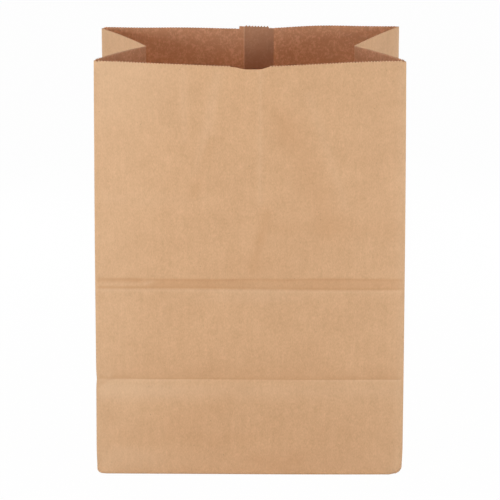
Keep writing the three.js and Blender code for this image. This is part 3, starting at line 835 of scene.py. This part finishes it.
# Kraft paper: unbleached pine pulp, uncoated and matt. Its fibres lie mostly up the tube, with clouds where
# the pulp settled thick and thin, and dark flecks of bark. A little light comes through it to the inside. The
# inner side is painted darker as the shade within the bag, with paler specks painted where light would shine
# through thin pulp.
KRAFT_DARK = (0.583, 0.336, 0.171, 1)
KRAFT_LIGHT = (0.847, 0.530, 0.300, 1)
# painted shade: the inside of the bag, darker and warmer than the outside
KRAFT_INNER_SHADE = (0.487, 0.255, 0.157, 1)
KRAFT_THIN_GLOW = (0.736, 0.462, 0.325, 1)  # painted light: paler specks of thin pulp on the inner side, where light would shine through
# paler nap of worn paper, also used as painted highlight and sheen
KRAFT_WORN_AND_LIT = (0.93, 0.68, 0.45, 1)
# darker pressed paper, also used as painted shade
KRAFT_PRESSED_SHADE = (0.565, 0.285, 0.125, 1)
BARK_FLECK = (0.36, 0.19, 0.095, 1)
WHITE = (1, 1, 1, 1)
DRIFT = 24.0  # sizes of the pulp's clouds, of its fibres and of the flecks
PULP = 8.0
MOTTLE = 2.2
GRAIN = 0.9
STREAK = 4.0
FLECK = 1.5
GRAIN_STRETCH = (1, 1, 0.5)  # fibres are longer up the tube
STREAK_STRETCH = (1, 1, 0.08)
FLECK_STRETCH = (1, 1, 0.6)
FLECK_RANGE = (0.76, 0.80)  # only the highest of the noise shows as a fleck
CLOUD_TONE = 0.35  # how far each cloud, the grain and the streaks move the tone from dark to light
GRAIN_TONE = 0.9
STREAK_TONE = 0.25
TONE_START = 0.6
PULP_THICK = 0.25  # what the clouds and the grain add to the pulp's thickness
MOTTLE_THICK = 0.4
GRAIN_THICK = 0.35
THICK_RANGE = (0.38, 0.55)
LAP_THICK = 0.6  # share of the thin specks that the second ply of the lap hides
THIN_GLOW_SHARE = 0.95  # how much of each colour shows where it is strongest
INNER_SHADE_SHARE = 0.72
FLECK_SHARE = 0.5
PRESSED_SHADE_SHARE = 0.4
WEAR_AND_HIGHLIGHT_SHARE = 0.35
MATT = 0.72  # roughness, and what the mottle adds to it
MATT_SPREAD = 0.16
SHEEN = 0.4
GRAIN_HIGH = 0.6  # what the fibres add to the relief
MOTTLE_HIGH = 0.5
STREAK_HIGH = 0.3
RELIEF = 0.00006  # metres
RELIEF_STRENGTH = 0.35
THROUGH_SHARE = 0.13  # share of the light that goes through one ply of the paper
THROUGH_SPREAD = 0.04  # how much that share changes from thick pulp to thin
THIN_MEAN = 0.27  # about what share of the paper is thin
THROUGH_LAP = 0.7  # how much of that light the second ply stops
THROUGH_OUT = 0.2  # share of it that shows on the outside
THROUGH_COLOUR = (1.0, 0.365, 0.14, 1)


class Value:
    """A number that changes over a surface. Sums and products of such numbers add their Math nodes."""

    def __init__(self, finish, socket):
        self.finish = finish
        self.socket = socket

    def _with(self, operation, first, second):
        return self.finish.node("ShaderNodeMath", {"operation": operation}, {0: first, 1: second})

    def __add__(self, other):
        return self._with("ADD", self, other)

    def __sub__(self, other):
        return self._with("SUBTRACT", self, other)

    def __rsub__(self, other):
        return self._with("SUBTRACT", other, self)

    def __mul__(self, other):
        return self._with("MULTIPLY", self, other)

    __radd__ = __add__
    __rmul__ = __mul__


class Finish:
    """The nodes of a material, or of the world, under construction."""

    def __init__(self, owner):
        owner.use_nodes = True
        self.tree = owner.node_tree
        self.tree.nodes.clear()

    def node(self, kind, settings=None, inputs=None, out=0):
        """Adds a node with its settings and inputs, and returns one of its outputs."""
        made = self.tree.nodes.new(kind)
        for key, value in (settings or {}).items():
            setattr(made, key, value)
        for key, value in (inputs or {}).items():
            if isinstance(value, Value):
                self.tree.links.new(value.socket, made.inputs[key])
            else:
                made.inputs[key].default_value = value
        return Value(self, made.outputs[out]) if made.outputs else None

    def marked(self, name):
        """A number stored for every point of the bag."""
        return self.node("ShaderNodeAttribute", {"attribute_name": name}, {}, "Fac")

    def clouds(self, place, size, detail=2.0, stretch=(1, 1, 1)):
        """Soft noise from 0 to 1 whose patches are about one size across, in millimetres."""
        scaled = self.node("ShaderNodeVectorMath", {"operation": "MULTIPLY"}, {0: place, 1: stretch})
        return self.node("ShaderNodeTexNoise", {}, {"Vector": scaled, "Scale": 1 / size, "Detail": detail})

    def between(self, value, low, high):
        """0 below the low value, 1 above the high one."""
        inputs = {"Value": value, "From Min": low, "From Max": high}
        return self.node("ShaderNodeMapRange", {"interpolation_type": "SMOOTHSTEP"}, inputs)

    def blend(self, share, first, second):
        """One colour turning into another."""
        return self.node("ShaderNodeMix", {"data_type": "RGBA"}, {0: share, 6: first, 7: second}, 2)

    def in_view(self):
        """1 where the camera looks, straight, in a gloss or clear through; 0 for light on the bag."""
        ray = {kind: self.node("ShaderNodeLightPath", {}, {}, f"Is {kind} Ray")
               for kind in ("Camera", "Glossy", "Transmission", "Diffuse")}
        return ray["Camera"] + ray["Glossy"] + ray["Transmission"] * (1 - ray["Diffuse"])


kraft_paper = bpy.data.materials.new("kraft_paper")
kraft = Finish(kraft_paper)
in_metres = kraft.node("ShaderNodeTexCoord", {}, {}, "Object")
place = kraft.node("ShaderNodeVectorMath", {"operation": "SCALE"}, {0: in_metres, "Scale": 1 / MILLIMETRE})
drift = kraft.clouds(place, DRIFT)
pulp = kraft.clouds(place, PULP, detail=3.0)
mottle = kraft.clouds(place, MOTTLE)
grain = kraft.clouds(place, GRAIN, stretch=GRAIN_STRETCH)
streak = kraft.clouds(place, STREAK, stretch=STREAK_STRETCH)
fleck = kraft.between(kraft.clouds(place, FLECK, detail=1.0, stretch=FLECK_STRETCH), *FLECK_RANGE)
wear_and_highlight = kraft.marked("worn_and_highlit")
pressed_and_shade_mark = kraft.marked("pressed_and_shade")
inner_side = kraft.marked("inner")
two_plies = kraft.marked("doubled")

cloudy = drift * CLOUD_TONE + pulp * CLOUD_TONE + mottle * CLOUD_TONE
tone = cloudy + grain * GRAIN_TONE + streak * STREAK_TONE - TONE_START
body = kraft.blend(tone, KRAFT_DARK, KRAFT_LIGHT)
thick = kraft.between(pulp * PULP_THICK + mottle * MOTTLE_THICK + grain * GRAIN_THICK, *THICK_RANGE)
thin = (1 - thick) * (1 - LAP_THICK * two_plies)
inner_shade_and_glow = kraft.blend(thin * THIN_GLOW_SHARE, KRAFT_INNER_SHADE, KRAFT_THIN_GLOW)
# painted shade: the inner side is darker and warmer
with_inner_shade = kraft.blend(inner_side * INNER_SHADE_SHARE, body, inner_shade_and_glow)
flecked = kraft.blend(fleck * FLECK_SHARE, with_inner_shade, BARK_FLECK)
with_pressed_shade = kraft.blend(pressed_and_shade_mark * PRESSED_SHADE_SHARE, flecked, KRAFT_PRESSED_SHADE)
colour = kraft.blend(wear_and_highlight * WEAR_AND_HIGHLIGHT_SHARE, with_pressed_shade, KRAFT_WORN_AND_LIT)
roughness = MATT + MATT_SPREAD * mottle
relief = grain * GRAIN_HIGH + mottle * MOTTLE_HIGH + streak * STREAK_HIGH
fibres = kraft.node(
    "ShaderNodeBump",
    {},
    {"Strength": RELIEF_STRENGTH, "Distance": RELIEF, "Height": relief},
)
surface = kraft.node(
    "ShaderNodeBsdfPrincipled",
    {},
    {"Base Color": colour, "Roughness": roughness, "Normal": fibres, "Specular IOR Level": SHEEN},
)
glow = kraft.node("ShaderNodeBsdfTranslucent", {}, {"Color": THROUGH_COLOUR})
one_ply = THROUGH_SHARE + THROUGH_SPREAD * (thin - THIN_MEAN)
through = one_ply * (1 - THROUGH_LAP * two_plies) * (THROUGH_OUT + (1 - THROUGH_OUT) * inner_side)
face = kraft.node("ShaderNodeMixShader", {}, {0: through, 1: surface, 2: glow})
core = kraft.node("ShaderNodeBsdfTranslucent", {}, {"Color": WHITE})
from_within = kraft.node("ShaderNodeNewGeometry", {}, {}, "Backfacing")
paper = kraft.node("ShaderNodeMixShader", {}, {0: from_within, 1: face, 2: core})
kraft.node("ShaderNodeOutputMaterial", {}, {"Surface": paper})
bag.data.materials.append(kraft_paper)

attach(bag, "root")
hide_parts("paper_bag")


# The stage: a white studio table that runs on behind the bag out of view, in a dim white tent. Four soft
# boxes stand round the bag at about the height of its mouth and face it level, so that little of their light
# falls into it. Sizes from here on are metres.
TABLE_GREY = 0.9  # share of the light that the table throws back
TABLE_CLEAR = 0.0002  # between the table and the bag
TABLE_SIDE = 4.0  # how far the table reaches to the front and sides, and behind
TABLE_BEHIND = 5.0
TABLE_WHITE = 0.985  # share of the table's look that is plain white, the rest keeping the bag's shadow
TENT = 0.11  # brightness of the tent as the bag is lit by it
table_corners = [
    (-TABLE_SIDE, -TABLE_SIDE, -TABLE_CLEAR),
    (TABLE_SIDE, -TABLE_SIDE, -TABLE_CLEAR),
    (TABLE_SIDE, TABLE_BEHIND, -TABLE_CLEAR),
    (-TABLE_SIDE, TABLE_BEHIND, -TABLE_CLEAR),
]
table_mesh = bpy.data.meshes.new("studio_table")
table_mesh.from_pydata(table_corners, [], [(0, 1, 2, 3)])
table = bpy.data.objects.new("studio_table", table_mesh)
bpy.context.scene.collection.objects.link(table)
studio_white = bpy.data.materials.new("studio_white")
white = Finish(studio_white)
lit = white.node("ShaderNodeBsdfDiffuse", {}, {"Color": (TABLE_GREY, TABLE_GREY, TABLE_GREY, 1)})
plain = white.node("ShaderNodeEmission", {}, {"Color": WHITE, "Strength": 1.0})
shown = white.node("ShaderNodeMixShader", {}, {0: white.in_view() * TABLE_WHITE, 1: lit, 2: plain})
white.node("ShaderNodeOutputMaterial", {}, {"Surface": shown})
table.data.materials.append(studio_white)

white_tent = bpy.data.worlds.new("white_tent")
bpy.context.scene.world = white_tent
tent = Finish(white_tent)
dim = tent.node("ShaderNodeBackground", {}, {"Color": WHITE, "Strength": TENT})
plain = tent.node("ShaderNodeBackground", {}, {"Color": WHITE, "Strength": 1.0})
shown = tent.node("ShaderNodeMixShader", {}, {0: tent.in_view(), 1: dim, 2: plain})
tent.node("ShaderNodeOutputWorld", {}, {"Surface": shown})

BOX_WIDE = 0.6
BOX_TALL = 0.3
# Middle of each box, and its watts
BOXES = {
    "left_front_box": (-0.62, -0.75, 0.40, 4.72),
    "right_front_box": (0.75, -0.62, 0.38, 3.82),
    "left_back_box": (-0.62, 0.75, 0.30, 4.8),
    "right_back_box": (0.62, 0.75, 0.30, 4.1),
}
for name, (x, y, z, watts) in BOXES.items():
    box_light = bpy.data.lights.new(name, "AREA")
    box_light.shape = "RECTANGLE"
    box_light.size = BOX_WIDE
    box_light.size_y = BOX_TALL
    box_light.energy = watts
    box = bpy.data.objects.new(name, box_light)
    box.location = (x, y, z)
    box.rotation_euler = Vector((-x, -y, 0)).to_track_quat("-Z", "Y").to_euler()
    box.visible_camera = False
    bpy.context.scene.collection.objects.link(box)

LENS = 202.2  # millimetres, on a frame this wide
FRAME_WIDE = 36.0
CAMERA_AT = (0.006, -2.3252, 0.7966)
LOOKS_DOWN = 15.0  # degrees
LOOKS_LEFT = 0.153
lens = bpy.data.cameras.new("camera")
lens.lens = LENS
lens.sensor_width = FRAME_WIDE
camera = bpy.data.objects.new("camera", lens)
camera.location = CAMERA_AT
camera.rotation_euler = (math.radians(90 - LOOKS_DOWN), 0, math.radians(LOOKS_LEFT))
bpy.context.scene.collection.objects.link(camera)
bpy.context.scene.camera = camera
bpy.context.scene.view_settings.view_transform = "Standard"
bpy.context.scene.cycles.denoising_prefilter = "NONE"  # keeps teeth that are three pixels apart
